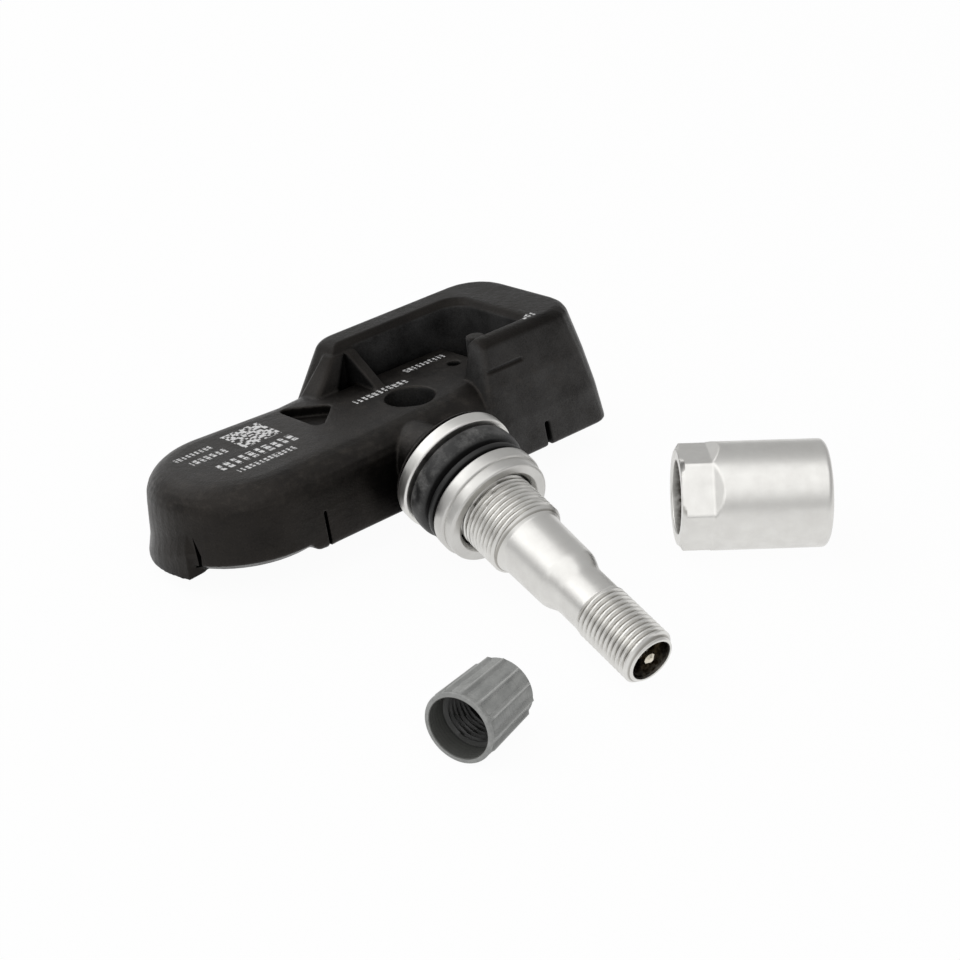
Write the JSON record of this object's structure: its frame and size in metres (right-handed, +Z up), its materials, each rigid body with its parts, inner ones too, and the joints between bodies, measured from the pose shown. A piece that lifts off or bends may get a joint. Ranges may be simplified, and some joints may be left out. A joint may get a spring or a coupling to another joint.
{
  "type": "tire pressure monitor",
  "caption": "In-wheel tyre pressure sensor: moulded casing with a bolt-on metal valve stem, rubber grommet and washer, with its sleeve nut and valve cap taken off and lying beside it.",
  "frame": {"origin": "centre of the whole object's footprint, on the surface it lies on", "axes": "+X along the casing from its battery end, the stem points towards -Y, +Z up"},
  "size_m": [0.076, 0.0742, 0.0205],
  "materials": {
    "casing": "moulded glass-filled nylon, satin",
    "potting": "poured compound",
    "board": "solder mask",
    "steel": "plain",
    "chip": "moulded package",
    "rubber": "moulded, matt",
    "membrane": "sintered, matt",
    "ferrite": "sintered",
    "copper": "enamelled",
    "ceramic": "fired",
    "aluminium": "turned, satin",
    "brass": "turned",
    "gasket": "moulded",
    "cap_plastic": "moulded, satin"
  },
  "bodies": {
    "sensor": {"casing": "casing", "potting": "potting", "circuit_board": "board", "battery_cell": "steel", "battery_strap_top": "steel", "battery_strap_bottom": "steel", "sensor_chip": "chip", "port_seal": "rubber", "port_filter": "membrane", "crystal": "steel", "lf_core": "ferrite", "lf_winding": "copper", "rf_antenna": "copper", "antenna_capacitor": "ceramic", "valve_stem": "aluminium", "grommet": "rubber"},
    "clamp_washer": {"washer": "aluminium"},
    "core_carrier": {"core_barrel": "brass", "core_gasket": "gasket", "core_spring": "steel"},
    "core_screw": {"core_head": "brass"},
    "pin_group": {"core_pin": "steel", "core_seat": "rubber"},
    "nut": {"sleeve_nut": "aluminium"},
    "cap": {"valve_cap": "cap_plastic", "cap_seal": "rubber"}
  },
  "joints": [
    {"name": "core_turn", "type": "hinge", "parent": "core_carrier", "child": "core_screw", "pos_m": [-0.00637, -0.02639, 0.00571], "axis": [-0.078, -0.9766, -0.2006], "range_deg": [0, 2880]},
    {"name": "core_travel", "type": "slide", "parent": "sensor", "child": "core_carrier", "axis": [-0.078, -0.9766, -0.2006], "range_m": [0, 0.00564]},
    {"name": "pin_press", "type": "slide", "parent": "core_carrier", "child": "pin_group", "axis": [0.078, 0.9766, 0.2006], "range_m": [0, 0.0012], "stiffness_N_per_m": 1000, "springref_m": -0.002, "deforming": ["core_spring"]},
    {"name": "washer_slide", "type": "slide", "parent": "sensor", "child": "clamp_washer", "axis": [-0.078, -0.9766, -0.2006], "range_m": [0, 0.0348]},
    {"name": "nut_lift", "type": "slide", "parent": "sensor", "child": "nut", "axis": [0, 0, 1], "range_m": [0, 0.05]},
    {"name": "cap_lift", "type": "slide", "parent": "sensor", "child": "cap", "axis": [0, 0, 1], "range_m": [0, 0.05]}
  ],
  "couplings": [
    {"joint": "core_turn", "follows": "core_travel", "rad_per_m": 8905.3}
  ]
}
